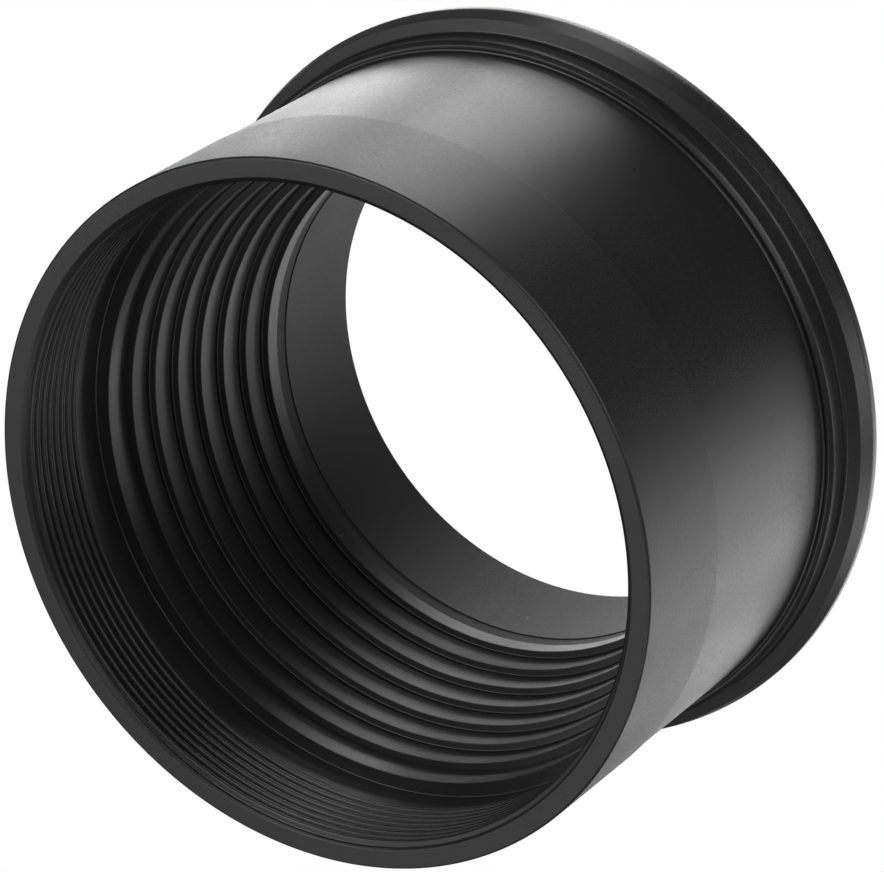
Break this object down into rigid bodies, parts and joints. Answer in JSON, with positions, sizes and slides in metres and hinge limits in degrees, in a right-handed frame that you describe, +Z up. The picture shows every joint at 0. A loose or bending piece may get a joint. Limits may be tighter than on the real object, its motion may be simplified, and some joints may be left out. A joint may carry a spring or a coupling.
{
  "type": "telescope nosepiece",
  "caption": "Push-fit telescope nosepiece: a barrel with a filter thread, a stepped baffle sleeve inside it, and a flange ring with a camera thread screwed on behind.",
  "frame": {"origin": "centre of the clear bore in the plane of the flange's rear face, where a camera's ring seats", "axes": "+Y along the optical axis, from the filter end towards the camera thread; +Z up; the part is round about Y"},
  "size_m": [0.055, 0.0352, 0.055],
  "materials": {
    "anodised_barrel": "black anodised, satin, fine bead-blasted grain",
    "blackened_sleeve": "black anodised, matt, turned steps",
    "anodised_flange": "black anodised, satin, fine bead-blasted grain"
  },
  "bodies": {
    "barrel": {"barrel_tube": "anodised_barrel"},
    "sleeve": {"baffle_sleeve": "blackened_sleeve"},
    "ring": {"flange_ring": "anodised_flange"}
  },
  "joints": [
    {"name": "sleeve_travel", "type": "slide", "parent": "barrel", "child": "sleeve", "axis": [0, 1, 0], "range_m": [0, 0.0015]},
    {"name": "ring_unscrew", "type": "hinge", "parent": "sleeve", "child": "ring", "pos_m": [0, 0, 0], "axis": [0, 1, 0], "range_deg": [0, 720]}
  ],
  "couplings": [
    {"joint": "sleeve_travel", "follows": "ring_unscrew", "m_per_rad": 0.00011937}
  ]
}
